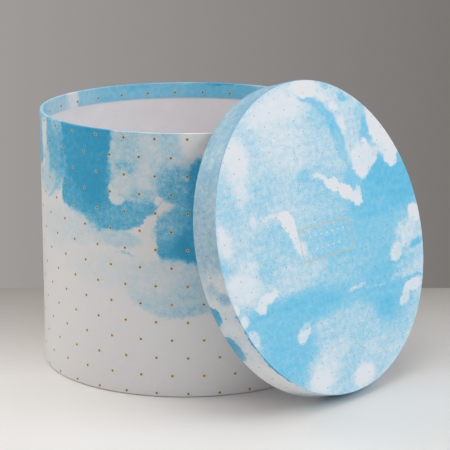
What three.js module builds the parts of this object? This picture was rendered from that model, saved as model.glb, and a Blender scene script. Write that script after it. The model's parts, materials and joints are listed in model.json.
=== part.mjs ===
// Round hat box of paper-covered greyboard, standing open with its lid leaning against it.
// Millimetres, +Z up. The origin is the centre of the box's underside, on the surface that it
// stands on, and the lid leans towards +X with its printed face outward.

import * as THREE from 'three';

// The box
const BOX_RADIUS = 140;
const BOX_HEIGHT = 247;
const RIM_TURN_IN = 15.5; // printed paper folded down inside the rim
const FOOT_TURN_IN = 14; // printed paper folded under the foot
const FOOT_BEND = 1.5; // the foot's edge is rubbed round, outside radius

// The lid, measured with its open side down
const LID_RADIUS = 145;
const LID_DEPTH = 27;
const LID_TURN_IN = 13; // printed paper folded up inside the open edge
const LID_TURN_OVER = 10; // printed paper folded over the top board
const LID_FACE_MARGIN = 0.6; // the face paper stops this far inside the lid's edge

// How the lid stands: its open edge on the ground, its lining against the box's rim
const LID_LEAN = THREE.MathUtils.degToRad(16.3); // from upright
const LEAN_GAP = 0.3; // kept between the lining and the rim

// Sheet stock
const BOARD = 2;
const PAPER = 0.25;
const GLUE = 0.15; // the gap that stands for each glue line
const EDGE_BEND = 0.6; // outside radius of a fold over a board's edge

const SEGMENTS = 72; // sides of each turned piece
const BEND_STEPS = 3; // flats along each fold

const SHEET = PAPER + GLUE; // one glued layer of paper

// Radii of the box's layers, from the outside in
const wallOuter = BOX_RADIUS - SHEET;
const wallInner = wallOuter - BOARD;
const liningOuter = wallInner - GLUE;
const bandInner = wallInner - SHEET - SHEET;

// Heights of the box's layers, from the ground up
const footLevel = SHEET;
const boardLevel = footLevel + SHEET;
const floorLevel = boardLevel + BOARD + GLUE;

// Radii of the lid's layers, from the outside in
const rimOuter = LID_RADIUS - SHEET;
const rimInner = rimOuter - BOARD;
const rimLiningOuter = rimInner - GLUE;
const lidBandInner = rimInner - SHEET - SHEET;

// Heights of the lid's layers, from its face down
const turnOverTop = LID_DEPTH - SHEET;
const topBoardTop = turnOverTop - SHEET;
const topBoardBottom = topBoardTop - BOARD;
const ceilingTop = topBoardBottom - GLUE;
const ceilingBottom = ceilingTop - PAPER;

// Solid of revolution about +Z from an outline of [radius, height] points, anticlockwise.
function turned(outline) {
  const points = outline.map(([radius, height]) => new THREE.Vector2(radius, height));
  const geometry = new THREE.LatheGeometry(points, SEGMENTS);
  geometry.rotateX(Math.PI / 2);
  return geometry;
}

function disc(radius, bottom, top) {
  return turned([[0, bottom], [radius, bottom], [radius, top], [0, top]]);
}

function tube(inner, outer, bottom, top) {
  return turned([
    [inner, bottom],
    [outer, bottom],
    [outer, top],
    [inner, top],
    [inner, bottom],
  ]);
}

// One side of a folded sheet: path's corners are square, and each is rounded about its own
// centre, bends[i] in from the corner on the sheet's outer side. inset moves the side inwards.
function sheetSide(path, bends, inset) {
  const side = [];
  let heading = path[1].clone().sub(path[0]).normalize();
  let outward = new THREE.Vector2(heading.y, -heading.x);
  side.push(path[0].clone().addScaledVector(outward, -inset));
  bends.forEach((bend, i) => {
    const corner = path[i + 1];
    const next = path[i + 2].clone().sub(corner).normalize();
    const centre = corner.clone().addScaledVector(heading, -bend).addScaledVector(next, bend);
    for (let step = 0; step <= BEND_STEPS; step += 1) {
      const turn = (step / BEND_STEPS) * (Math.PI / 2);
      const point = centre.clone();
      point.addScaledVector(outward, Math.cos(turn) * (bend - inset));
      point.addScaledVector(heading, Math.sin(turn) * (bend - inset));
      side.push(point);
    }
    heading = next;
    outward = new THREE.Vector2(heading.y, -heading.x);
  });
  side.push(path[path.length - 1].clone().addScaledVector(outward, -inset));
  return side;
}

// A printed sheet folded round the edges of a board, given along its outer side.
function foldedSheet(corners, bends) {
  const path = corners.map(([radius, height]) => new THREE.Vector2(radius, height));
  const outer = sheetSide(path, bends, 0);
  const inner = sheetSide(path, bends, PAPER).reverse();
  const outline = [...outer, ...inner, outer[0]];
  return turned(outline.map((point) => [point.x, point.y]));
}

// Rolled greyboard wall, its lower edge crushed round where the wrap is rubbed down.
function wallBoard() {
  const crush = FOOT_BEND - PAPER;
  const top = BOX_HEIGHT - SHEET;
  return turned([
    [wallInner, boardLevel],
    [wallOuter - crush, boardLevel],
    [wallOuter, boardLevel + crush],
    [wallOuter, top],
    [wallInner, top],
    [wallInner, boardLevel],
  ]);
}

function baseBoard() {
  return disc(wallInner - GLUE, boardLevel, boardLevel + BOARD);
}

// Printed wrap: under the foot, up the wall, over the rim and down inside as a band.
function wallWrap() {
  const corners = [
    [BOX_RADIUS - FOOT_TURN_IN, footLevel],
    [BOX_RADIUS, footLevel],
    [BOX_RADIUS, BOX_HEIGHT],
    [bandInner, BOX_HEIGHT],
    [bandInner, BOX_HEIGHT - RIM_TURN_IN],
  ];
  return foldedSheet(corners, [FOOT_BEND, EDGE_BEND, EDGE_BEND]);
}

// White lining of the wall, its top edge hidden under the turned-in band.
function wallLining() {
  const top = BOX_HEIGHT - EDGE_BEND - GLUE - GLUE;
  return tube(liningOuter - PAPER, liningOuter, floorLevel, top);
}

function baseLining() {
  return disc(liningOuter - SHEET, floorLevel, floorLevel + PAPER);
}

// Plain sheet on the underside, over the wrap's turned-under edge.
function baseCoverPaper() {
  return disc(BOX_RADIUS - FOOT_BEND * 2, 0, PAPER);
}

function lidRimBoard() {
  return tube(rimInner, rimOuter, SHEET, topBoardBottom - GLUE);
}

function lidTopBoard() {
  return disc(rimOuter, topBoardBottom, topBoardTop);
}

// Printed wrap: inside the open edge, round it, up the rim and over the top board.
function lidRimWrap() {
  const corners = [
    [lidBandInner, LID_TURN_IN],
    [lidBandInner, 0],
    [LID_RADIUS, 0],
    [LID_RADIUS, turnOverTop],
    [LID_RADIUS - LID_TURN_OVER, turnOverTop],
  ];
  return foldedSheet(corners, [EDGE_BEND, EDGE_BEND, EDGE_BEND]);
}

// White lining of the rim, its lower edge hidden under the turned-in paper.
function lidRimLining() {
  const bottom = EDGE_BEND + GLUE + GLUE;
  return tube(rimLiningOuter - PAPER, rimLiningOuter, bottom, ceilingTop);
}

function lidLining() {
  return disc(rimLiningOuter - SHEET, ceilingBottom, ceilingTop);
}

function lidTopPaper() {
  return disc(LID_RADIUS - LID_FACE_MARGIN, LID_DEPTH - PAPER, LID_DEPTH);
}

const greyboard = { color: 0x8f8a80, roughness: 0.95, metalness: 0 };
const printedPaper = { color: 0xbcd9e6, roughness: 0.45, metalness: 0 };
const facePaper = { color: 0x9fd6ee, roughness: 0.42, metalness: 0 };
const whitePaper = { color: 0xe8e6e2, roughness: 0.8, metalness: 0 };
const basePaper = { color: 0xd9d6d0, roughness: 0.85, metalness: 0 };

function part(name, geometry, finish) {
  const mesh = new THREE.Mesh(geometry, new THREE.MeshStandardMaterial(finish));
  mesh.name = name;
  return mesh;
}

function makeBox() {
  const box = new THREE.Group();
  box.add(part('wall_board', wallBoard(), greyboard));
  box.add(part('base_board', baseBoard(), greyboard));
  box.add(part('wall_wrap', wallWrap(), printedPaper));
  box.add(part('wall_lining', wallLining(), whitePaper));
  box.add(part('base_lining', baseLining(), whitePaper));
  box.add(part('base_cover_paper', baseCoverPaper(), basePaper));
  return box;
}

// Centre of the lid's open edge: at this height the edge just meets the ground, and this far
// out the lining clears the box's rim by LEAN_GAP.
function lidPosition() {
  const across = Math.cos(LID_LEAN);
  const rise = Math.sin(LID_LEAN);
  const height = LID_RADIUS * across;
  const rimReach = BOX_RADIUS * across + BOX_HEIGHT * rise;
  const edgeReach = rimReach + LEAN_GAP - ceilingBottom;
  return new THREE.Vector3((edgeReach - height * rise) / across, 0, height);
}

function makeLid() {
  const lid = new THREE.Group();
  lid.add(part('lid_rim_board', lidRimBoard(), greyboard));
  lid.add(part('lid_top_board', lidTopBoard(), greyboard));
  lid.add(part('lid_rim_wrap', lidRimWrap(), printedPaper));
  lid.add(part('lid_rim_lining', lidRimLining(), whitePaper));
  lid.add(part('lid_lining', lidLining(), whitePaper));
  lid.add(part('lid_top_paper', lidTopPaper(), facePaper));
  lid.rotation.y = Math.PI / 2 - LID_LEAN;
  lid.position.copy(lidPosition());
  return lid;
}

const hatBox = new THREE.Group();
hatBox.add(makeBox());
hatBox.add(makeLid());

export default hatBox;
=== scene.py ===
import json
import math

import bmesh
import bpy
from mathutils import Matrix, Vector


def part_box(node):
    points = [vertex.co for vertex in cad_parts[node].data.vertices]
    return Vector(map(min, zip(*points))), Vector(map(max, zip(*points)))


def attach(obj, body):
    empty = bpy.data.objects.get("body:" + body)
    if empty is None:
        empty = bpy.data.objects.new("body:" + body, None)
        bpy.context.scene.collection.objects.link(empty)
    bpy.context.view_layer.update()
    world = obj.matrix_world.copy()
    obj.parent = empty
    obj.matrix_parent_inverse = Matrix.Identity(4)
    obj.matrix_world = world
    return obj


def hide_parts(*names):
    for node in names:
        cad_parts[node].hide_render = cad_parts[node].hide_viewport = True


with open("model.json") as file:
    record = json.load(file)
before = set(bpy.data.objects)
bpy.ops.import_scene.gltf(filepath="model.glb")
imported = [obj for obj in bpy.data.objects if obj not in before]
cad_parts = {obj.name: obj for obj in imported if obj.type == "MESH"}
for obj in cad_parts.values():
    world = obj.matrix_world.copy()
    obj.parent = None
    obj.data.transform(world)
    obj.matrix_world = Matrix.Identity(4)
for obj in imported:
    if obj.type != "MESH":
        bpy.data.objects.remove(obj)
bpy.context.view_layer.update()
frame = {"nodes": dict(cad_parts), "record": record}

mm = 0.001  # sizes below are in millimetres, Blender's are in metres

# the box stands on its axis at the origin, and the lid leans on it from the side of +X
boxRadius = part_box("wall_wrap")[1].x / mm
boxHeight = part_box("wall_wrap")[1].z / mm
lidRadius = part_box("lid_rim_wrap")[1].y / mm
mounts = {mount["name"]: mount for mount in frame["record"]["mounts"]}
faceCentre = Vector(mounts["lid_face"]["pos_m"])
faceNormal = Vector(mounts["lid_face"]["axis"]).normalized()

stock = dict(
    paper=0.25,
    glue=0.15,
    board=2.0,
    lidDepth=27.0,
    sides=288,  # of each round sheet
)
layer = stock["paper"] + stock["glue"]


def addNode(tree, kind, inputs=None, **settings):
    # inputs are numbers, colours or other nodes' sockets, and settings are the node's own choices
    node = tree.nodes.new("ShaderNode" + kind)
    for name, value in settings.items():
        setattr(node, name, value)
    for name, value in (inputs or {}).items():
        if isinstance(value, bpy.types.NodeSocket):
            tree.links.new(value, node.inputs[name])
        else:
            node.inputs[name].default_value = value
    return node


def linearColour(hexValue):
    # sRGB hex to the linear colour that a shader takes
    channels = [int(hexValue[i:i + 2], 16) / 255 for i in (0, 2, 4)]
    linear = [c / 12.92 if c <= 0.04045 else ((c + 0.055) / 1.055) ** 2.4 for c in channels]
    return (*linear, 1)


def deselectAll():
    if bpy.context.object and bpy.context.object.mode != "OBJECT":
        bpy.ops.object.mode_set(mode="OBJECT")
    bpy.ops.object.select_all(action="DESELECT")


def makeActive(piece):
    deselectAll()
    piece.select_set(True)
    bpy.context.view_layer.objects.active = piece


def selectEdges(piece, wanted):
    mesh = bmesh.from_edit_mesh(piece.data)
    mesh.select_mode = {"EDGE"}
    for edge in mesh.edges:
        edge.select_set(wanted(edge))
    mesh.select_flush_mode()
    bmesh.update_edit_mesh(piece.data)


def applyModifier(piece, kind, **settings):
    makeActive(piece)
    modifier = piece.modifiers.new(kind.title(), kind)
    for name, value in settings.items():
        setattr(modifier, name, value)
    bpy.ops.object.modifier_apply(modifier=modifier.name)


def smoothEdges(piece, degrees=35):
    makeActive(piece)
    bpy.ops.object.shade_smooth_by_angle(angle=math.radians(degrees))


def standOnLid(piece):
    # the lid's pieces are made with the lid's open edge at height 0 and its face up, then placed
    side = Vector((0, 1, 0))
    up = faceNormal.cross(side)
    turn = Matrix((side, up, faceNormal)).transposed().to_4x4()
    makeActive(piece)
    piece.matrix_world = Matrix.Translation(faceCentre - faceNormal * stock["lidDepth"] * mm) @ turn
    bpy.ops.object.transform_apply(location=True, rotation=True, scale=True)


def ringFrom(name, radius, height, filled=False):
    deselectAll()
    bpy.ops.mesh.primitive_circle_add(
        vertices=stock["sides"],
        radius=radius * mm,
        location=(0, 0, height * mm),
        fill_type="NGON" if filled else "NOTHING",
    )
    piece = bpy.context.object
    piece.name = name
    piece.data.name = name
    bpy.ops.object.transform_apply(location=True, rotation=True, scale=True)
    return piece


def faceOut(piece, outward):
    # all faces agree with each other, and the outermost one looks the way that outward gives
    bpy.ops.mesh.select_all(action="SELECT")
    bpy.ops.mesh.normals_make_consistent(inside=False)
    mesh = bmesh.from_edit_mesh(piece.data)
    outermost = max(mesh.faces, key=lambda face: face.calc_center_median().xy.length)
    if outermost.normal.dot(outward(outermost.calc_center_median())) < 0:
        bpy.ops.mesh.flip_normals()


def fromAxis(centre):
    return Vector((centre.x, centre.y, 0))


def toAxis(centre):
    return -fromAxis(centre)


def foldedSheet(name, path, bend=(), outward=fromAxis):
    # the sheet's printed side: a ring extruded along path, then each inner corner of it rounded
    radius, height = path[0]
    near = 0.02  # an edge this close to a corner is on its fold
    piece = ringFrom(name, radius, height)
    makeActive(piece)
    bpy.ops.object.mode_set(mode="EDIT")
    bpy.ops.mesh.select_all(action="SELECT")
    for nextRadius, nextHeight in path[1:]:
        rise = (0, 0, (nextHeight - height) * mm)
        grow = nextRadius / radius
        bpy.ops.mesh.extrude_region_move(TRANSFORM_OT_translate={"value": rise})
        bpy.ops.transform.resize(value=(grow, grow, 1), center_override=(0, 0, nextHeight * mm))
        radius, height = nextRadius, nextHeight
    for (foldRadius, foldHeight), size in zip(path[1:], bend):

        def onFold(edge):
            return all(
                abs(math.hypot(v.co.x, v.co.y) / mm - foldRadius) < near
                and abs(v.co.z / mm - foldHeight) < near
                for v in edge.verts
            )

        selectEdges(piece, onFold)
        bpy.ops.mesh.bevel(offset=size * mm, segments=5, affect="EDGES")
    faceOut(piece, outward)
    bpy.ops.object.mode_set(mode="OBJECT")
    return piece


def roundSheet(name, radius, height, up, rings=8):
    piece = ringFrom(name, radius, height, filled=True)
    makeActive(piece)
    bpy.ops.object.mode_set(mode="EDIT")
    bpy.ops.mesh.select_all(action="SELECT")
    for ring in range(rings):
        bpy.ops.mesh.inset(thickness=radius / (rings + 1) * mm)
    bpy.ops.mesh.poke()  # closes the middle with a fan
    faceOut(piece, lambda centre: Vector((0, 0, 1 if up else -1)))
    bpy.ops.object.mode_set(mode="OBJECT")
    return piece


def thicken(piece, thickness=stock["paper"]):
    # the printed side stays where it is and the thickness goes behind it
    applyModifier(piece, "SOLIDIFY", thickness=thickness * mm, offset=-1, use_even_offset=True)


def distanceAlong(path, radius, height):
    # how far along the fold path the point nearest to this one lies
    best, total = None, 0
    for (r0, h0), (r1, h1) in zip(path, path[1:]):
        length = math.hypot(r1 - r0, h1 - h0)
        share = ((radius - r0) * (r1 - r0) + (height - h0) * (h1 - h0)) / length**2
        share = min(1, max(0, share))
        away = math.hypot(r0 + share * (r1 - r0) - radius, h0 + share * (h1 - h0) - height)
        if best is None or away < best[0] - 1e-6:
            best = (away, total + share * length)
        total += length
    return best[1]


def unrollMap(piece, path, start, lap):
    # the sheet laid flat, in metres: arc from +X across, and distance along the fold path up
    flat = piece.data.uv_layers.new(name="flat")
    vertices, loops = piece.data.vertices, piece.data.loops
    up = [distanceAlong(path, math.hypot(v.co.x, v.co.y) / mm, v.co.z / mm) for v in vertices]
    reach = max(radius for radius, height in path)
    for face in piece.data.polygons:
        middle = math.atan2(face.center.y, face.center.x)
        turns = (middle - lap) % math.tau + lap - math.tau
        for i in face.loop_indices:
            corner = loops[i].vertex_index
            place = vertices[corner].co
            across = turns + math.remainder(math.atan2(place.y, place.x) - middle, math.tau)
            flat.data[i].uv = (across * reach * mm, (up[corner] - start) * mm)


def flatMap(piece):
    flat = piece.data.uv_layers.new(name="flat")
    for loop in piece.data.loops:
        flat.data[loop.index].uv = piece.data.vertices[loop.vertex_index].co.xy


def finishPiece(piece, body, slotName, material, *nodes):
    piece.data.materials.clear()
    piece.data.materials.append(material)
    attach(piece, body)
    if nodes:
        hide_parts(*nodes)
    return piece


def printTone(tree, place, washes, ground, warp):
    # washes laid one over the other on paper: each is a soft oval, which a slow bend makes
    # uneven and a fine fringe makes ragged, as where wet pigment creeps along the fibres
    bent = place
    for size, reach in warp:
        slow = {"Vector": place, "Scale": 1 / size, "Detail": 6, "Roughness": 0.6}
        drift = addNode(tree, "TexNoise", slow)
        push = addNode(
            tree,
            "VectorMath",
            {0: drift.outputs["Color"], 1: (reach, reach, 0), 2: (-reach / 2, -reach / 2, 0)},
            operation="MULTIPLY_ADD",
        )
        moved = addNode(tree, "VectorMath", {0: bent, 1: push.outputs[0]}, operation="ADD")
        bent = moved.outputs[0]
    tone = ground
    washesAtOnce = 20
    for count, (x, y, wide, high, turn, depth, soft) in enumerate(washes, 1):
        if count % washesAtOnce == 0:
            # wet paper: the next washes run a little where colour already lies, which also
            # makes the renderer take the washes in turn, as it can't hold them all at once
            run = {0: tone, 1: (0.4, 0.3, 0), 2: bent}
            bent = addNode(tree, "VectorMath", run, operation="MULTIPLY_ADD").outputs[0]
        local = addNode(
            tree,
            "Mapping",
            {
                "Vector": bent,
                "Location": (x, y, 0),
                "Rotation": (0, 0, math.radians(turn)),
                "Scale": (wide, high, 1),
            },
            vector_type="TEXTURE",
        )
        away = addNode(tree, "VectorMath", {0: local.outputs[0]}, operation="LENGTH")
        cover = addNode(
            tree,
            "MapRange",
            {"Value": away.outputs["Value"], "From Min": 1 + soft, "From Max": max(0.02, 1 - soft)},
            interpolation_type="SMOOTHSTEP",
        )
        laid = {0: cover.outputs[0], 2: tone, 3: depth}
        tone = addNode(tree, "Mix", laid, data_type="FLOAT").outputs[0]
    return tone


# sizes of the print's grain and of the paper under it, in millimetres
paperGrain = dict(
    speck=1.2,
    clump=5.5,
    streak=(38, 5),
    fibre=1.0,
    fibreDepth=0.03,
    wave=60,
    calmFade=3,  # the grain fades over this much
    calmShare=0.4,  # and this share of it stays
)


def printedPaper(name, washes, look):
    # offset-printed art paper under a matt film: the film gives a low satin sheen and the
    # watercolour print its grain, strongest where the pigment is half deep
    material = bpy.data.materials.new(name)
    material.use_nodes = True
    tree = material.node_tree
    shader = tree.nodes["Principled BSDF"]
    flat = addNode(tree, "UVMap", uv_map="flat")
    scaled = addNode(tree, "VectorMath", {0: flat.outputs[0], 3: 1 / mm}, operation="SCALE")
    place = scaled.outputs[0]
    tone = printTone(tree, place, washes, look["ground"], look["warp"])

    # pigment grain: fine specks, clumps and brushed streaks
    specks = addNode(
        tree,
        "TexNoise",
        {"Vector": place, "Scale": 1 / paperGrain["speck"], "Detail": 2, "Roughness": 0.8},
    )
    clumps = addNode(
        tree,
        "TexNoise",
        {"Vector": place, "Scale": 1 / paperGrain["clump"], "Detail": 5, "Roughness": 0.7},
    )
    long, broad = paperGrain["streak"]
    brushed = addNode(tree, "Mapping", {"Vector": place, "Scale": (1 / long, 1 / broad, 1)})
    streaks = addNode(tree, "TexNoise", {"Vector": brushed.outputs[0], "Scale": 1, "Detail": 4})
    grain = 0
    for name, noise in (("specks", specks), ("clumps", clumps), ("streaks", streaks)):
        centred = addNode(tree, "Math", {0: noise.outputs[0], 1: 0.5}, operation="SUBTRACT")
        added = {0: centred.outputs[0], 1: look[name], 2: grain}
        grain = addNode(tree, "Math", added, operation="MULTIPLY_ADD").outputs[0]

    # its weight is 4 t (1.05 - t), which is full where the tone t is half deep
    bare = addNode(tree, "Math", {0: 1.05, 1: tone}, operation="SUBTRACT", use_clamp=True)
    half = addNode(
        tree, "Math", {0: tone, 1: bare.outputs[0]}, operation="MULTIPLY", use_clamp=True
    )
    weight = addNode(
        tree, "Math", {0: half.outputs[0], 1: 4}, operation="MULTIPLY", use_clamp=True
    )

    # and it fades where the sheet runs calm
    height = addNode(tree, "SeparateXYZ", {0: place}).outputs["Y"]
    calm = addNode(
        tree,
        "MapRange",
        {
            "Value": height,
            "From Min": look["calm"],
            "From Max": look["calm"] + paperGrain["calmFade"],
            "To Min": 1,
            "To Max": paperGrain["calmShare"],
        },
    )
    eased = addNode(
        tree, "Math", {0: weight.outputs[0], 1: calm.outputs[0]}, operation="MULTIPLY"
    )
    grained = addNode(
        tree, "Math", {0: grain, 1: eased.outputs[0], 2: tone}, operation="MULTIPLY_ADD"
    )

    ramp = addNode(tree, "ValToRGB", {"Fac": grained.outputs[0]})
    stops = ramp.color_ramp.elements
    while len(stops) < len(look["inks"]):
        stops.new(0.5)
    for stop, (depth, ink) in zip(stops, look["inks"]):
        stop.position = depth
        stop.color = linearColour(ink)
    tree.links.new(ramp.outputs[0], shader.inputs["Base Color"])

    # paper fibre pressed under the film, drawn coarse so that it shows, and the sheet's slow waves
    fibre = addNode(
        tree, "TexNoise", {"Vector": place, "Scale": 1 / paperGrain["fibre"], "Detail": 2}
    )
    waves = addNode(
        tree, "TexNoise", {"Vector": place, "Scale": 1 / paperGrain["wave"], "Detail": 1}
    )
    waveBump = addNode(
        tree, "Bump", {"Height": waves.outputs[0], "Strength": 1.0, "Distance": look["wave"] * mm}
    )
    fibreBump = addNode(
        tree,
        "Bump",
        {
            "Height": fibre.outputs[0],
            "Strength": 0.3,
            "Distance": paperGrain["fibreDepth"] * mm,
            "Normal": waveBump.outputs[0],
        },
    )
    tree.links.new(fibreBump.outputs[0], shader.inputs["Normal"])
    shader.inputs["Roughness"].default_value = look["roughness"]
    shader.inputs["IOR"].default_value = 1.5
    shader.inputs["Coat Weight"].default_value = look["film"]
    shader.inputs["Coat Roughness"].default_value = 0.35
    return material


def plainPaper(name, look):
    # uncoated sheet: dull, with faint cloudy formation and fibres that only show close up
    material = bpy.data.materials.new(name)
    material.use_nodes = True
    tree = material.node_tree
    shader = tree.nodes["Principled BSDF"]
    where = addNode(tree, "TexCoord").outputs["Object"]
    cloud = addNode(
        tree, "TexNoise", {"Vector": where, "Scale": 1 / (look["cloud"] * mm), "Detail": 5}
    )
    fleck = addNode(
        tree, "TexNoise", {"Vector": where, "Scale": 1 / (look["fibre"] * mm), "Detail": 3}
    )
    mixed = addNode(
        tree, "Mix", {0: 0.4, 2: cloud.outputs[0], 3: fleck.outputs[0]}, data_type="FLOAT"
    )
    ramp = addNode(tree, "ValToRGB", {"Fac": mixed.outputs[0]})
    for stop, depth, shade in zip(ramp.color_ramp.elements, (0.3, 0.7), look["shades"]):
        stop.position = depth
        stop.color = linearColour(shade)
    tree.links.new(ramp.outputs[0], shader.inputs["Base Color"])
    bump = addNode(
        tree, "Bump", {"Height": fleck.outputs[0], "Strength": 0.4, "Distance": look["depth"] * mm}
    )
    tree.links.new(bump.outputs[0], shader.inputs["Normal"])
    shader.inputs["Roughness"].default_value = look["roughness"]
    return material


def stampedFoil(name, look):
    # hot-stamped metallic foil, worn a little by handling and dulled by the paper's tooth; on the
    # dots, painted shade darkens the middle and a painted highlight brightens the edge
    material = bpy.data.materials.new(name)
    material.use_nodes = True
    tree = material.node_tree
    shader = tree.nodes["Principled BSDF"]
    where = addNode(tree, "TexCoord").outputs["Object"]
    wear = addNode(tree, "TexNoise", {"Vector": where, "Scale": 1 / (2.5 * mm), "Detail": 3})
    amount = wear.outputs[0]
    if look["paintedSunkShade"]:
        # across the dot from its middle, 0, to its edge, 1: the die leaves the middle sunk and the
        # edge raised, and the colour paints shade into the sunk middle and a highlight on the
        # raised edge
        across = addNode(tree, "UVMap", uv_map="dot")
        radius = addNode(tree, "SeparateXYZ", {0: across.outputs[0]}).outputs["X"]
        edge = addNode(tree, "MapRange", {"Value": radius, "From Min": 0.42, "From Max": 0.74})
        wearAndDotLight = {0: wear.outputs[0], 1: 0.4, 2: edge.outputs[0]}
        amount = addNode(tree, "Math", wearAndDotLight, operation="MULTIPLY_ADD").outputs[0]
    ramp = addNode(tree, "ValToRGB", {"Fac": amount})
    for stop, depth, shade in zip(ramp.color_ramp.elements, look["spread"], look["shades"]):
        stop.position = depth
        stop.color = linearColour(shade)
    tree.links.new(ramp.outputs[0], shader.inputs["Base Color"])
    shader.inputs["Metallic"].default_value = look["metallic"]
    shader.inputs["Roughness"].default_value = look["roughness"]
    return material


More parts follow.
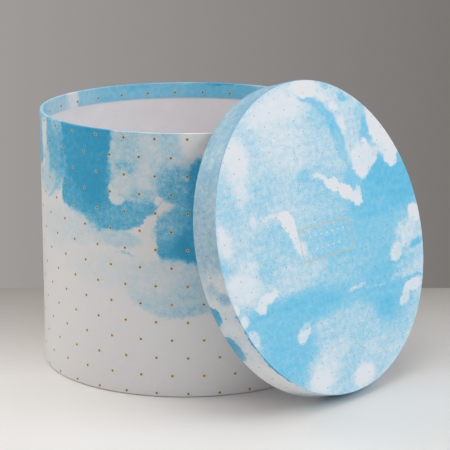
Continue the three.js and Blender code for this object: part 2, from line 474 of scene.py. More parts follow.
# washes: centre across and up, half width and half height in millimetres, turn in degrees,
# how deep the pigment is from 0 bare paper to 1, and how soft the edge is
faceWashes = [
    # open sky, from the pale left to the deep right
    (70, -52, 40, 46, 0, 0.67, 0.5),
    (-50, -56, 84, 15, 0, 0.71, 0.5),
    (-80, -90, 38, 32, 0, 0.66, 0.35),
    (-120, -62, 26, 12, 0, 0.66, 0.5),
    (20, -12, 56, 32, 0, 0.53, 0.7),
    (72, 4, 42, 28, 0, 0.58, 0.6),
    (108, 34, 52, 30, -6, 0.80, 0.4),
    (74, 20, 30, 16, 0, 0.72, 0.5),
    (10, 44, 36, 18, -10, 0.46, 0.7),
    (-14, 58, 10, 5, 14, 0.58, 0.6),
    (54, 46, 12, 10, 0, 0.60, 0.5),
    (-55, 5, 15, 14, 0, 0.46, 0.7),
    (-85, -12, 18, 12, 0, 0.46, 0.7),
    (-80, 50, 24, 14, 10, 0.42, 0.7),
    (-124, 46, 18, 16, 0, 0.42, 0.7),
    (-74, 14, 22, 8, 5, 0.44, 0.7),
    (-138, -2, 8, 14, 0, 0.52, 0.6),
    (-76, 104, 17, 14, -30, 0.42, 0.7),
    # pale haze over the upper left
    (-30, 122, 48, 16, 8, 0.10, 0.6),
    (-36, 94, 28, 18, 0, 0.19, 0.8),
    (-22, 74, 20, 10, 0, 0.22, 0.8),
    (-96, 86, 14, 20, -20, 0.08, 0.5),
    (-112, 94, 10, 16, -35, 0.09, 0.5),
    (-100, 60, 10, 14, 0, 0.16, 0.7),
    (-134, 18, 9, 16, 0, 0.12, 0.6),
    (-28, 88, 8, 1.1, -6, 0.36, 0.6),
    (-18, 77, 1.3, 9, 6, 0.36, 0.6),
    # the white hook left of the label
    (-92, 30, 5, 4, 0, 0.12, 0.6),
    (-68, 30, 14, 1.8, 2, 0.16, 0.6),
    (-51, 29.5, 9, 4, 4, 0.04, 0.16),
    (-47, 22, 8.5, 8, 10, 0.03, 0.14),
    (-43, 11, 5.5, 12, 14, 0.06, 0.16),
    (-37, -3, 6, 11, 28, 0.14, 0.6),
    # a blue arc with cloud breaking over it, upper right
    (14, 126, 14, 3, -18, 0.58, 0.5),
    (30, 106, 18, 15, -40, 0.42, 0.7),
    (31, 115, 15, 5, -36, 0.60, 0.5),
    (45, 94, 7, 18, 20, 0.66, 0.5),
    (50, 76, 8, 15, 10, 0.54, 0.6),
    (14, 137, 22, 8.5, -8, 0.04, 0.16),
    (46, 123, 20, 9.5, -38, 0.24, 0.2),
    (62, 101, 12, 22, 14, 0.28, 0.22),
    (67, 78, 10.5, 19, 0, 0.31, 0.3),
    (80, 112, 14, 12, -40, 0.26, 0.4),
    (34, 127, 7, 4, -20, 0.07, 0.6),
    (50, 116, 6, 4, -40, 0.08, 0.6),
    (58, 96, 4, 8, 10, 0.10, 0.6),
    (56, 124, 6, 3, -30, 0.30, 0.6),
    (70, 98, 6, 6, 0, 0.32, 0.6),
    (64, 84, 4, 6, 0, 0.30, 0.6),
    (76, 120, 6, 4, -40, 0.36, 0.6),
    (43, 135, 6, 3, -20, 0.46, 0.5),
    (65, 122, 7, 4.5, -30, 0.60, 0.35),
    (77, 104, 9, 5, -50, 0.34, 0.6),
    (90, 106, 8, 10, -40, 0.46, 0.5),
    (92, 89, 7, 13, -4, 0.64, 0.35),
    (84, 81, 5, 9, -30, 0.60, 0.4),
    (112, 84, 16, 30, 22, 0.05, 0.13),
    (118, 56, 11, 8.5, 0, 0.08, 0.15),
    (131, 65, 9, 7, 30, 0.08, 0.15),
    (108, 66, 6, 7, 0, 0.16, 0.5),
    (73, 59, 12.5, 17, 10, 0.12, 0.18),
    (87, 62, 12, 9, 24, 0.14, 0.2),
    (85, 73, 6, 8, 20, 0.10, 0.25),
    (96, 65, 9, 5, 10, 0.20, 0.3),
    # the white stroke above the label
    (9, 54.5, 9, 2.4, -12, 0.14, 0.4),
    (25, 46, 13, 5.4, -26, 0.08, 0.18),
    (43, 34, 13, 6.8, -34, 0.04, 0.16),
    (57, 27, 8, 8, -20, 0.10, 0.14),
    (61, 34, 5, 3, 40, 0.20, 0.5),
    # left bank of cloud
    (-122, -22, 21, 15, -10, 0.13, 0.5),
    (-108, -8, 12, 6, 0, 0.20, 0.6),
    (-94, -38, 15, 5, 14, 0.10, 0.2),
    (-104, -45, 7, 6, 0, 0.12, 0.25),
    (-139, -40, 6, 7, 0, 0.06, 0.3),
    (-130, -52, 7, 5, 0, 0.12, 0.4),
    (-122, -68, 8, 7, -30, 0.26, 0.4),
    (-50, -26, 24, 13, 0, 0.32, 0.8),
    (-20, -26, 13, 7, 20, 0.30, 0.7),
    (-57, -79, 11, 6.5, 28, 0.18, 0.2),
    (-53, -72, 6, 3, 20, 0.30, 0.5),
    # the wide mottled cloud at the bottom
    (6, -108, 47, 36, 0, 0.40, 0.3),
    (-40, -118, 26, 17, 30, 0.20, 0.5),
    (26, -84, 22, 14, 0, 0.40, 0.6),
    (-46, -124, 13, 9, 0, 0.08, 0.6),
    (14, -133, 17, 10, 10, 0.05, 0.4),
    (-6, -100, 11, 8, 0, 0.28, 0.7),
    (32, -112, 13, 11, 0, 0.30, 0.7),
    (29, -53, 13, 1.6, 2, 0.32, 0.7),
    (58, -57, 16, 1.2, -3, 0.46, 0.7),
    (68, -78, 13, 9, 0, 0.76, 0.7),
    # torn clouds at the right edge
    (112, -54, 28, 4, 2, 0.32, 0.5),
    (112, -44, 22, 4, 10, 0.46, 0.6),
    (108, -60, 28, 1.6, 0, 0.64, 0.5),
    (130, -30, 10, 4, 20, 0.74, 0.4),
    (138, -1, 9, 9, 30, 0.07, 0.18),
    (122, -18, 18, 6.5, 38, 0.20, 0.16),
    (98, -32, 11, 7, 40, 0.18, 0.2),
    (110, -15, 8, 4, 40, 0.24, 0.6),
    (112, -67, 15, 5, 8, 0.14, 0.16),
    (97, -76, 9, 5, 42, 0.20, 0.2),
    (118, -86, 16, 8, 30, 0.40, 0.6),
]

# across is the arc from +X, which runs below 0 towards the front, and up is the height; past the
# rim the paper folds in and up goes on down the band
wallWashes = [
    # left edge, under the rim
    (-400, 252, 70, 20, 0, 0.40, 0.4),
    (-326, 232, 28, 34, 6, 0.54, 0.2),
    (-318, 206, 22, 12, 14, 0.60, 0.2),
    (-346, 214, 14, 10, -30, 0.44, 0.3),
    (-330, 250, 60, 12, 0, 0.46, 0.5),
    (-334, 224, 8, 5, 40, 0.14, 0.4),
    (-290, 232, 11, 12, 0, 0.05, 0.3),
    (-302, 190, 16, 7, 20, 0.30, 0.6),
    # two blues side by side, the nearer one deeper
    (-264, 226, 20, 46, 0, 0.62, 0.16),
    (-262, 250, 14, 14, 0, 0.46, 0.5),
    (-284, 208, 8, 12, 0, 0.30, 0.5),
    # the lobe that hangs below them, then the deep patch over its top
    (-188, 170, 34, 18, 4, 0.62, 0.06),
    (-152, 177, 15, 8, 22, 0.62, 0.1),
    (-196, 160, 22, 8, 0, 0.66, 0.6),
    (-220, 152, 9, 4.5, 10, 0.62, 0.25),
    (-236, 150, 5, 2, 0, 0.5, 0.4),
    (-218, 244, 32, 48, 0, 0.84, 0.05),
    (-217, 206, 31, 36, 0, 0.82, 0.3),
    (-214, 194, 22, 20, 0, 0.90, 0.8),
    (-206, 244, 22, 18, 0, 0.88, 0.6),
    (-230, 178, 14, 12, 0, 0.74, 0.7),
    (-239, 184, 11, 15, 0, 0.74, 0.14),
    # mottled pale patch right of them
    (-148, 228, 39, 44, 0, 0.28, 0.1),
    (-171, 214, 10, 9, 0, 0.46, 0.6),
    (-166, 240, 12, 14, 0, 0.34, 0.6),
    (-146, 236, 12, 10, 0, 0.16, 0.6),
    (-152, 206, 10, 15, 10, 0.16, 0.6),
    (-180, 191, 9.5, 12, -14, 0.12, 0.12),
    (-172, 187, 5, 2, -20, 0.34, 0.6),
    (-184, 200, 2.4, 4, 0, 0.30, 0.6),
    (-174, 202, 9, 9, 0, 0.18, 0.5),
    (-158, 188, 12, 6, 0, 0.38, 0.5),
    (-130, 240, 14, 10, 0, 0.32, 0.6),
    (-112, 240, 9, 17, 0, 0.03, 0.4),
    # bands that run under the lid
    (-128, 208, 18, 8, 8, 0.52, 0.5),
    (-122, 193, 20, 11, 0, 0.60, 0.3),
    (-103, 204, 10, 20, 0, 0.82, 0.25),
    (-118, 149, 24, 29, -20, 0.72, 0.1),
    (-113, 138, 15, 16, 0, 0.98, 0.6),
    (-134, 162, 13, 13, 0, 0.52, 0.6),
    (-141, 184, 3.4, 4, 0, 0.03, 0.3),
    (-136, 178, 8, 3.2, 24, 0.05, 0.3),
    (-150, 162, 4.5, 14, -32, 0.04, 0.25),
    (-112, 177, 15, 13, 0, 0.62, 0.3),
    (-99, 172, 15, 42, 0, 0.80, 0.4),
    # thin veils below
    (-182, 147, 24, 8, 0, 0.25, 0.25),
    (-173, 134, 10, 1.2, -4, 0.42, 0.5),
    (-228, 150, 24, 12, 0, 0.15, 0.5),
    (-262, 148, 30, 20, 0, 0.12, 0.6),
    (-190, 118, 46, 16, 0, 0.08, 0.6),
    (-126, 104, 44, 27, 0, 0.25, 0.14),
    (-150, 112, 28, 16, 0, 0.13, 0.6),
    (-104, 98, 22, 15, 0, 0.30, 0.5),
    (-114, 82, 24, 5, 6, 0.34, 0.3),
    (-270, 178, 14, 1.3, 32, 0.60, 0.5),
    (-280, 186, 22, 10, 20, 0.28, 0.7),
    # the folded band inside the far rim
    (-590, 256, 66, 22, 0, 0.58, 0.12),
    (-500, 256, 66, 22, 0, 0.52, 0.2),
    (-440, 260, 16, 16, 0, 0.44, 0.5),
    (-418, 257, 9, 13, 24, 0.08, 0.3),
    (-408, 262, 5, 4, 0, 0.24, 0.5),
    (-386, 256, 22, 16, 0, 0.36, 0.4),
    # the side turned away: the same kinds of patch
    (-590, 226, 44, 26, -6, 0.82, 0.08),
    (-552, 206, 26, 17, 12, 0.72, 0.12),
    (-640, 230, 30, 22, 0, 0.34, 0.2),
    (-648, 214, 14, 12, 0, 0.12, 0.4),
    (-500, 232, 42, 22, 4, 0.60, 0.2),
    (-470, 214, 26, 14, -14, 0.78, 0.12),
    (-520, 196, 20, 8, 0, 0.24, 0.4),
    (-392, 226, 34, 26, 0, 0.40, 0.2),
    (-374, 222, 22, 20, 20, 0.64, 0.18),
    (-392, 202, 16, 6, -20, 0.48, 0.25),
    (-410, 212, 8, 7, 30, 0.12, 0.3),
    (-378, 238, 10, 8, 0, 0.34, 0.6),
    (-440, 178, 40, 14, 0, 0.14, 0.5),
    (-604, 172, 58, 13, 8, 0.14, 0.5),
    (-578, 212, 8, 6, 30, 0.06, 0.2),
    (-618, 214, 11, 7, -20, 0.30, 0.5),
    (-528, 216, 6, 9, 20, 0.05, 0.2),
    (-566, 190, 9, 4, -10, 0.52, 0.3),
    (-20, 200, 46, 40, 0, 0.34, 0.2),
    (-34, 182, 20, 16, 0, 0.12, 0.4),
    (36, 228, 40, 28, 8, 0.82, 0.08),
    (16, 202, 17, 10, -14, 0.60, 0.12),
    (50, 206, 9, 9, 0, 0.07, 0.16),
    (32, 236, 13, 10, 0, 0.62, 0.6),
    (70, 200, 26, 16, -20, 0.70, 0.12),
    (112, 232, 30, 20, 0, 0.36, 0.3),
    (150, 222, 22, 30, 0, 0.62, 0.2),
    (40, 150, 60, 24, 0, 0.18, 0.4),
    (128, 168, 36, 10, -10, 0.14, 0.5),
    (96, 214, 7, 10, -20, 0.06, 0.3),
]

# across is the arc from the lid's right side, and up is from the open edge to the face
lidRimWashes = [
    # the first, broad wash makes the rim darker from about 70 to 160 degrees round
    (290, 14, 110, 24, 0, 0.58, 0.3),
    (120, 14, 60, 20, 0, 0.34, 0.5),
    (262, 10, 26, 14, 0, 0.44, 0.6),
    (262, 2, 12, 6, 0, 0.56, 0.5),
    (324, 16, 24, 9, 0, 0.48, 0.6),
    (306, 6, 26, 6, 0, 0.42, 0.7),
    (354, 14, 12, 16, 0, 0.44, 0.6),
    (430, 13, 36, 20, 0, 0.40, 0.4),
    (398, 6, 16, 9, 0, 0.46, 0.6),
    (404, 20, 8, 8, 0, 0.40, 0.6),
    (482, 14, 22, 20, 0, 0.14, 0.4),
    (484, 20, 6, 6, 30, 0.50, 0.6),
    (474, 10, 7, 6, 0, 0.34, 0.6),
    (499, 1, 10, 7, 0, 0.82, 0.06),
    (535, 1, 15, 9, 0, 0.82, 0.06),
    (514, 14, 10, 12, 0, 0.12, 0.6),
    (534, 20, 16, 8, 0, 0.16, 0.6),
    (590, 14, 44, 20, 0, 0.04, 0.5),
    (556, 27.5, 62, 1.6, 0, 0.78, 0.2),
    (690, 12, 40, 18, 0, 0.50, 0.4),
    (640, 6, 22, 10, 0, 0.24, 0.5),
    (745, 14, 26, 14, 0, 0.14, 0.5),
    (0, 12, 54, 16, 0, 0.66, 0.3),
    (-60, 12, 40, 20, 0, 0.40, 0.5),
    (-118, 10, 26, 12, 0, 0.10, 0.4),
    (70, 8, 26, 10, 0, 0.14, 0.4),
    (176, 18, 26, 10, 0, 0.10, 0.5),
]

wallLook = dict(
    ground=0.02,
    calm=246,  # past this the grain is faint: the print runs even where it folds inside the rim
    warp=((17, 13), (7, 6), (2.2, 3.4)),  # size of each bend and how far it pushes
    specks=0.8,
    clumps=0.9,
    streaks=0.1,
    inks=[(0, "F2F1F2"), (0.3, "C2E2F0"), (0.55, "78CBEC"), (0.8, "36B0DF"), (1, "10A3D4")],
    wave=0.12,
    roughness=0.46,
    film=0.15,
)
rimLook = dict(
    ground=0.28,
    calm=60,
    warp=((10, 9), (2.2, 3)),
    specks=0.5,
    clumps=0.7,
    streaks=0.1,
    inks=[(0, "F4F3F4"), (0.3, "BDD8E6"), (0.55, "84BDD8"), (0.8, "46B2D8"), (1, "1FA6D2")],
    wave=0.05,
    roughness=0.46,
    film=0.15,
)
faceLook = dict(
    ground=0.32,
    calm=200,
    warp=((16, 12), (7, 6), (2.2, 3.6)),
    specks=0.8,
    clumps=0.8,
    streaks=0.3,
    inks=[
        (0, "F7F6F8"),
        (0.12, "ECF6FD"),
        (0.25, "D6EDF9"),
        (0.5, "9CDCF6"),
        (0.75, "74D2F7"),
        (1, "55BFE6"),
    ],
    wave=0.05,
    roughness=0.42,
    film=0.2,
)

wallPrint = printedPaper("printedArtPaperWall", wallWashes, wallLook)
rimPrint = printedPaper("printedArtPaperRim", lidRimWashes, rimLook)
facePrint = printedPaper("printedArtPaperFace", faceWashes, faceLook)

# white wood-free lining paper, uncoated: an even, dull white
liningPaper = plainPaper(
    "uncoatedLiningPaper",
    dict(cloud=14, fibre=0.7, depth=0.05, shades=("ECE9EB", "F3F1F3"), roughness=0.82),
)
# bleached kraft on the underside: a shade darker, with longer fibres
undersidePaper = plainPaper(
    "bleachedKraftPaper",
    dict(cloud=9, fibre=1.2, depth=0.08, shades=("D3CFC8", "DEDAD3"), roughness=0.88),
)
# recycled greyboard: grey pulp with specks, seen only at raw edges
greyboard = plainPaper(
    "recycledGreyboard",
    dict(cloud=4, fibre=0.9, depth=0.15, shades=("85807A", "A09A92"), roughness=0.95),
)
# copper-gold foil of the dots: a painted highlight as a bright ring round a middle darkened by
# painted shade
dotFoil = stampedFoil(
    "hotStampedCopperFoil",
    dict(shades=("4C3A2E", "EECB86"), spread=(0.2, 1.1), paintedSunkShade=True, metallic=0.3, roughness=0.4),
)
# the finer dots on the lid, thinner foil and paler, with the same painted shade in the middle and
# painted highlight at the edge
fineDotFoil = stampedFoil(
    "hotStampedFineFoil",
    dict(shades=("8E7E6A", "C9B48E"), spread=(0.2, 1.1), paintedSunkShade=True, metallic=0.4, roughness=0.45),
)
# pale gold foil of the label's line: a soft dull gold against the blue
lineFoil = stampedFoil(
    "hotStampedPaleGoldFoil",
    dict(shades=("DCD0AC", "EADFC0"), spread=(0.3, 0.7), paintedSunkShade=False, metallic=0.3, roughness=0.5),
)
# white foil of the label's small diamonds: plain bright specks
whiteFoil = stampedFoil(
    "hotStampedPearlFoil",
    dict(shades=("EEF3F6", "FBFDFF"), spread=(0.3, 0.7), paintedSunkShade=False, metallic=0.0, roughness=0.4),
)
print("materials ready")


# the box's sheets; underDots leaves room for the foil, and lap is where the wrap's ends meet,
# in degrees round from +X
boxSheet = dict(footIn=14.0, footBend=1.5, rimIn=15.5, edgeBend=0.6, underDots=0.07, lap=70)
wallInside = boxRadius - layer - stock["board"]
floorLevel = 2 * layer + stock["board"] + stock["glue"]


def makeWallWrap():
    # one sheet: under the foot, up the wall, over the rim and down inside as a band
    reach = boxRadius - boxSheet["underDots"]
    bandInside = wallInside - 2 * layer
    path = [
        (boxRadius - boxSheet["footIn"], layer),
        (reach, layer),
        (reach, boxHeight),
        (bandInside, boxHeight),
        (bandInside, boxHeight - boxSheet["rimIn"]),
    ]
    bend = (boxSheet["footBend"], boxSheet["edgeBend"], boxSheet["edgeBend"])
    piece = foldedSheet("wallWrapPaper", path, bend)
    unrollMap(piece, path, reach - path[0][0] - layer, math.radians(boxSheet["lap"]))
    thicken(piece, stock["paper"] - boxSheet["underDots"])
    smoothEdges(piece)
    return piece


def makeWallLining():
    inside = wallInside - layer
    top = boxHeight - boxSheet["edgeBend"] - 2 * stock["glue"]
    piece = foldedSheet("wallLiningPaper", [(inside, floorLevel), (inside, top)], outward=toAxis)
    thicken(piece)
    smoothEdges(piece)
    return piece


def makeFloorLining():
    height = floorLevel + stock["paper"]
    piece = roundSheet("floorLiningPaper", wallInside - stock["glue"] - layer, height, up=True)
    thicken(piece)
    return piece


def makeBaseCover():
    piece = roundSheet("baseCoverPaper", boxRadius - 2 * boxSheet["footBend"], 0, up=False)
    thicken(piece)
    return piece


finishPiece(makeWallWrap(), "box", "printed_wall_paper", wallPrint, "wall_wrap")
finishPiece(makeWallLining(), "box", "white_lining_paper", liningPaper, "wall_lining")
finishPiece(makeFloorLining(), "box", "white_lining_paper", liningPaper, "base_lining")
finishPiece(makeBaseCover(), "box", "base_paper", undersidePaper, "base_cover_paper")
print("box sheets ready")


# the lid's sheets, the lid lying with its open edge down
lidSheet = dict(turnIn=13.0, turnOver=10.0, edgeBend=0.6, margin=0.6, underDots=0.07, lap=300)
rimInside = lidRadius - layer - stock["board"]
turnOverTop = stock["lidDepth"] - layer
ceilingTop = turnOverTop - layer - stock["board"] - stock["glue"]


def makeLidRimWrap():
    # one sheet: inside the open edge, round it, up the rim and over the top board
    reach = lidRadius - lidSheet["underDots"]
    bandInside = rimInside - 2 * layer
    path = [
        (bandInside, lidSheet["turnIn"]),
        (bandInside, 0),
        (reach, 0),
        (reach, turnOverTop),
        (lidRadius - lidSheet["turnOver"], turnOverTop),
    ]
    piece = foldedSheet("lidRimWrapPaper", path, [lidSheet["edgeBend"]] * 3)
    start = lidSheet["turnIn"] + reach - bandInside
    unrollMap(piece, path, start, math.radians(lidSheet["lap"]))
    thicken(piece, stock["paper"] - lidSheet["underDots"])
    smoothEdges(piece)
    return piece


def makeLidFace():
    radius = lidRadius - lidSheet["margin"]
    height = stock["lidDepth"] - lidSheet["underDots"]
    piece = roundSheet("lidFacePaper", radius, height, up=True)
    flatMap(piece)
    thicken(piece, stock["paper"] - lidSheet["underDots"])
    return piece


def makeLidRimLining():
    inside = rimInside - layer
    bottom = lidSheet["edgeBend"] + 2 * stock["glue"]
    path = [(inside, bottom), (inside, ceilingTop)]
    piece = foldedSheet("lidRimLiningPaper", path, outward=toAxis)
    thicken(piece)
    smoothEdges(piece)
    return piece


def makeLidCeiling():
    radius = rimInside - stock["glue"] - layer
    piece = roundSheet("lidCeilingPaper", radius, ceilingTop - stock["paper"], up=False)
    thicken(piece)
    return piece


lidPieces = [
    (makeLidRimWrap(), "printed_rim_paper", rimPrint, "lid_rim_wrap"),
    (makeLidFace(), "printed_face_paper", facePrint, "lid_top_paper"),
    (makeLidRimLining(), "white_lining_paper", liningPaper, "lid_rim_lining"),
    (makeLidCeiling(), "white_lining_paper", liningPaper, "lid_lining"),
]
for piece, slotName, material, node in lidPieces:
    standOnLid(piece)
    finishPiece(piece, "lid", slotName, material, node)
print("lid sheets ready")

for name in ("wall_board", "base_board", "lid_rim_board", "lid_top_board"):
    board = frame["nodes"][name]
    board.data.materials.clear()
    board.data.materials.append(greyboard)


dots = dict(
    foil=0.045,  # how far the foil stands proud of the paper
    wallRadius=1.5,
    faceRadius=0.55,
    rimRadius=0.75,
    wallPitch=29.32,
    wallRow=17.0,
    wallFirst=-173.4,
    wallTop=241.7,
    bandDown=10.0,  # the row inside the rim, measured down from it
    bandFirst=173.3,  # degrees round from +X
    facePitch=20.6,
    faceRow=11.5,
    faceFirst=(0.0, -63.3),
    faceRows=(-8, 19),
    faceColumns=(-8, 9),
    edgeClear=2.0,
    rimPitch=19.4,
    rimHeight=12.5,
    rimFirst=-0.54,  # degrees round from the lid's right side
)
label = dict(
    wide=73.3,
    high=30.7,
    centre=(0.0, -3.0),
    line=0.8,
    lineFoil=0.05,
    diamond=1.1,
    rows=((3.3, -21.0, 27.0, 7), (-8.8, -15.0, 17.0, 5)),  # height, first, last, how many
)


def makeDot(radius, sides=10):
    # one stamped dot on the ground plane: edge pressed round, middle sunk a little
    deselectAll()
    thickness = dots["foil"]
    depth = thickness * 2 * mm  # half of it sinks into the paper
    bpy.ops.mesh.primitive_cylinder_add(vertices=sides, radius=radius * mm, depth=depth)
    dot = bpy.context.object
    makeActive(dot)
    bpy.ops.object.mode_set(mode="EDIT")
    mesh = bmesh.from_edit_mesh(dot.data)
    mesh.select_mode = {"FACE"}
    for face in mesh.faces:
        face.select_set(face.normal.z > 0.9)
    bmesh.update_edit_mesh(dot.data)
    bpy.ops.mesh.inset(thickness=radius * 0.12 * mm, depth=thickness * 0.4 * mm)
    bpy.ops.mesh.inset(thickness=radius * 0.3 * mm, depth=-thickness * 0.4 * mm)
    bpy.ops.mesh.poke()
    bpy.ops.object.mode_set(mode="OBJECT")
    for oldMap in list(dot.data.uv_layers):
        dot.data.uv_layers.remove(oldMap)
    across = dot.data.uv_layers.new(name="dot")
    for loop in dot.data.loops:
        place = dot.data.vertices[loop.vertex_index].co
        across.data[loop.index].uv = (place.xy.length / (radius * mm), 0.5)
    return dot


def stampDots(name, dot, places):
    # a copy of the dot, with its own mesh, at each place, all joined into one piece
    copies = []
    for place in places:
        copy = dot.copy()
        copy.data = dot.data.copy()
        copy.matrix_world = place
        bpy.context.scene.collection.objects.link(copy)
        copies.append(copy)
    bpy.data.objects.remove(dot)
    deselectAll()
    for copy in copies:
        copy.select_set(True)
    bpy.context.view_layer.objects.active = copies[0]
    bpy.ops.object.join()
    piece = bpy.context.object
    piece.name = name
    piece.data.name = name
    bpy.ops.object.transform_apply(location=True, rotation=True, scale=True)
    smoothEdges(piece, 30)
    return piece


def onTube(radius, angle, height, outward=1):
    # stands a dot on a round wall, looking away from the axis or towards it
    radial = Vector((math.cos(angle), math.sin(angle), 0))
    normal = radial * outward
    up = Vector((0, 0, 1))
    turn = Matrix((up.cross(normal), up, normal)).transposed().to_4x4()
    return Matrix.Translation(radial * radius * mm + up * height * mm) @ turn


def wallDotPlaces():
    surface = boxRadius - boxSheet["underDots"]
    places = []
    around = round(math.tau * boxRadius / dots["wallPitch"])
    for row in range(int(dots["wallTop"] // dots["wallRow"]) + 1):
        height = dots["wallTop"] - row * dots["wallRow"]
        if height < boxSheet["footBend"] + dots["edgeClear"]:
            continue
        first = dots["wallFirst"] - (row % 2) * dots["wallPitch"] / 2
        for i in range(around):
            angle = first / boxRadius + i * math.tau / around
            places.append(onTube(surface, angle, height))
    # one row on the band inside the rim
    bandInside = wallInside - 2 * layer
    for i in range(around):
        angle = math.radians(dots["bandFirst"]) + i * math.tau / around
        places.append(onTube(bandInside, angle, boxHeight - dots["bandDown"], outward=-1))
    return places


def faceDotPlaces():
    surface = stock["lidDepth"] - lidSheet["underDots"]
    firstX, firstY = dots["faceFirst"]
    edge = lidRadius - lidSheet["margin"] - dots["edgeClear"]
    places = []
    for row in range(*dots["faceRows"]):
        y = firstY + row * dots["faceRow"]
        for column in range(*dots["faceColumns"]):
            x = firstX + (column + (row % 2) / 2) * dots["facePitch"]
            insideLabel = (
                abs(x - label["centre"][0]) < label["wide"] / 2 + 1
                and abs(y - label["centre"][1]) < label["high"] / 2 + 1
            )
            if math.hypot(x, y) < edge and not insideLabel:
                places.append(Matrix.Translation(Vector((x, y, surface)) * mm))
    return places


def rimDotPlaces():
    # the rim's paper is a narrow strip, which takes one row
    surface = lidRadius - lidSheet["underDots"]
    around = round(math.tau * lidRadius / dots["rimPitch"])
    first = math.radians(dots["rimFirst"])
    angles = [first + i * math.tau / around for i in range(around)]
    return [onTube(surface, angle, dots["rimHeight"]) for angle in angles]


def diamondPlaces():
    # plain diamonds in two rows, a neutral ornament for the label
    surface = stock["lidDepth"] - lidSheet["underDots"]
    places = []
    for y, first, last, count in label["rows"]:
        for i in range(count):
            x = first + (last - first) * i / (count - 1)
            places.append(Matrix.Translation(Vector((x, y, surface)) * mm))
    return places


def makeLabelLine():
    deselectAll()
    x, y = label["centre"]
    surface = stock["lidDepth"] - lidSheet["underDots"]
    bpy.ops.mesh.primitive_plane_add(size=1 * mm, location=(x * mm, y * mm, surface * mm))
    piece = bpy.context.object
    piece.name = "labelLineFoil"
    piece.data.name = "labelLineFoil"
    piece.scale = (label["wide"], label["high"], 1)
    makeActive(piece)
    bpy.ops.object.transform_apply(location=True, rotation=True, scale=True)
    bpy.ops.object.mode_set(mode="EDIT")
    bpy.ops.mesh.select_all(action="SELECT")
    bpy.ops.mesh.inset(thickness=label["line"] * mm)
    bpy.ops.mesh.delete(type="FACE")  # the inset face, so that the line is left
    bpy.ops.object.mode_set(mode="OBJECT")
    applyModifier(piece, "SOLIDIFY", thickness=label["lineFoil"] * mm, offset=1)
    return piece


wallDots = stampDots("wallDots", makeDot(dots["wallRadius"]), wallDotPlaces())
finishPiece(wallDots, "box", "dot_foil", dotFoil)
lidFoil = [
    ("lidFaceDots", makeDot(dots["faceRadius"]), faceDotPlaces(), "dot_foil", fineDotFoil),
    ("lidRimDots", makeDot(dots["rimRadius"]), rimDotPlaces(), "dot_foil", fineDotFoil),
    ("labelDiamonds", makeDot(label["diamond"], 4), diamondPlaces(), "gold_foil", whiteFoil),
]
for name, dot, places, slotName, foil in lidFoil:
    piece = stampDots(name, dot, places)
    standOnLid(piece)
    finishPiece(piece, "lid", slotName, foil)
labelLine = makeLabelLine()
standOnLid(labelLine)
finishPiece(labelLine, "lid", "gold_foil", lineFoil)
print("foil ready")


studio = dict(
    table=("F0EFED", "98948F"),  # front, and back darkened by painted shade where the lamps' light falls off
    tableShadeFade=(-0.08, 0.25),  # how far behind the box the painted shade starts to darken the table, and where it ends
    tableBack=0.231,  # how far behind the box's axis the table ends, in metres
    tableSize=(6.0, 4.0, 0.04),
    eye=(1.1831, -1.2853, 0.5583),
    aim=(0.0273, 0.0260, 0.1288),
    lens=147.3,
    lampAim=(0.05, 0, 0.13),
    room=("A29E9B", "777370"),  # left and right
    roomAcross=(0.750, 0.661, 0),
    roomFade=0.14,  # how far each side of the middle the shade changes
)
lamps = {
    "overhead": dict(place=(0.0, 0.0, 1.9), size=1.6, watts=12.0, colour="FFFFFF"),
    "overheadFront": dict(place=(0.45, -0.5, 1.8), size=1.4, watts=3.2, colour="FFFFFF"),
    "leftWindow": dict(place=(-1.3, -0.6, 1.3), size=1.2, watts=11.7, colour="FFF6EF"),
    "rightWindow": dict(place=(1.9, -0.1, 0.8), size=1.2, watts=4.8, colour="F8FBFF"),
    "rightHighWindow": dict(place=(1.6, 0.7, 1.4), size=1.2, watts=13.8, colour="F4F9FF"),
}


def lookAt(thing, target):
    way = Vector(target) - thing.location
    thing.rotation_mode = "QUATERNION"
    thing.rotation_quaternion = way.to_track_quat("-Z", "Y")


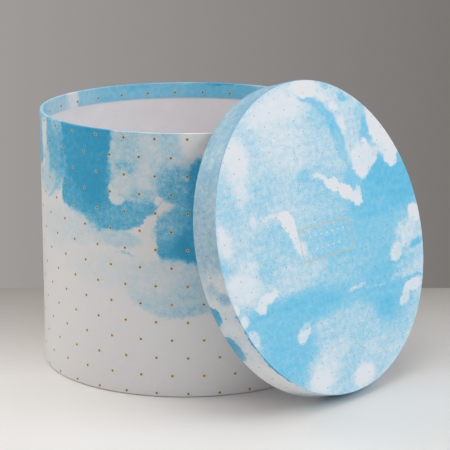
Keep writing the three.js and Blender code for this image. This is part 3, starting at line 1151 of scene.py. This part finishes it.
def makeTable():
    # satin white tabletop, its long back edge square to the line of sight, its colour darkened
    # towards the back by painted shade
    away = Vector(studio["aim"]) - Vector(studio["eye"])
    away.z = 0
    away.normalize()
    wide, deep, thick = studio["tableSize"]
    centre = away * (studio["tableBack"] - deep / 2)
    bpy.ops.mesh.primitive_cube_add(size=1, location=(centre.x, centre.y, -thick / 2))
    table = bpy.context.object
    table.name = "tabletop"
    table.scale = (wide, deep, thick)
    table.rotation_euler.z = math.atan2(away.y, away.x) - math.pi / 2
    makeActive(table)
    bpy.ops.object.transform_apply(location=True, rotation=True, scale=True)
    material = bpy.data.materials.new("satinLaminatePaintedShade")
    material.use_nodes = True
    tree = material.node_tree
    where = addNode(tree, "TexCoord").outputs["Object"]
    # painted shade: the table's colour darkens with distance behind the box, as the light falls off
    behind = addNode(tree, "VectorMath", {0: where, 1: away}, operation="DOT_PRODUCT")
    near, far = studio["tableShadeFade"]
    spread = addNode(
        tree, "MapRange", {"Value": behind.outputs["Value"], "From Min": near, "From Max": far}
    )
    ramp = addNode(tree, "ValToRGB", {"Fac": spread.outputs[0]})
    for stop, shade in zip(ramp.color_ramp.elements, studio["table"]):
        stop.color = linearColour(shade)
    shader = tree.nodes["Principled BSDF"]
    tree.links.new(ramp.outputs[0], shader.inputs["Base Color"])
    shader.inputs["Roughness"].default_value = 0.5
    table.data.materials.append(material)


def makeLamps():
    for name, lamp in lamps.items():
        light = bpy.data.lights.new(name, "AREA")
        light.shape = "SQUARE"
        light.size = lamp["size"]
        light.energy = lamp["watts"]
        light.color = linearColour(lamp["colour"])[:3]
        holder = bpy.data.objects.new(name, light)
        bpy.context.scene.collection.objects.link(holder)
        holder.location = lamp["place"]
        lookAt(holder, studio["lampAim"])


def makeRoom():
    # grey studio, a little lighter on the left
    world = bpy.data.worlds.new("greyStudio")
    bpy.context.scene.world = world
    world.use_nodes = True
    tree = world.node_tree
    background = tree.nodes["Background"]
    way = addNode(tree, "TexCoord").outputs["Generated"]
    across = addNode(
        tree, "VectorMath", {0: way, 1: studio["roomAcross"]}, operation="DOT_PRODUCT"
    )
    fade = studio["roomFade"]
    spread = addNode(
        tree, "MapRange", {"Value": across.outputs["Value"], "From Min": -fade, "From Max": fade}
    )
    ramp = addNode(tree, "ValToRGB", {"Fac": spread.outputs[0]})
    for stop, shade in zip(ramp.color_ramp.elements, studio["room"]):
        stop.color = linearColour(shade)
    tree.links.new(ramp.outputs[0], background.inputs["Color"])


def makeCamera():
    camera = bpy.data.cameras.new("camera")
    camera.lens = studio["lens"]
    camera.sensor_width = 36
    holder = bpy.data.objects.new("camera", camera)
    bpy.context.scene.collection.objects.link(holder)
    holder.location = studio["eye"]
    lookAt(holder, studio["aim"])
    bpy.context.scene.camera = holder


makeTable()
makeLamps()
makeRoom()
makeCamera()
bpy.context.scene.view_settings.view_transform = "Standard"
print("studio ready")
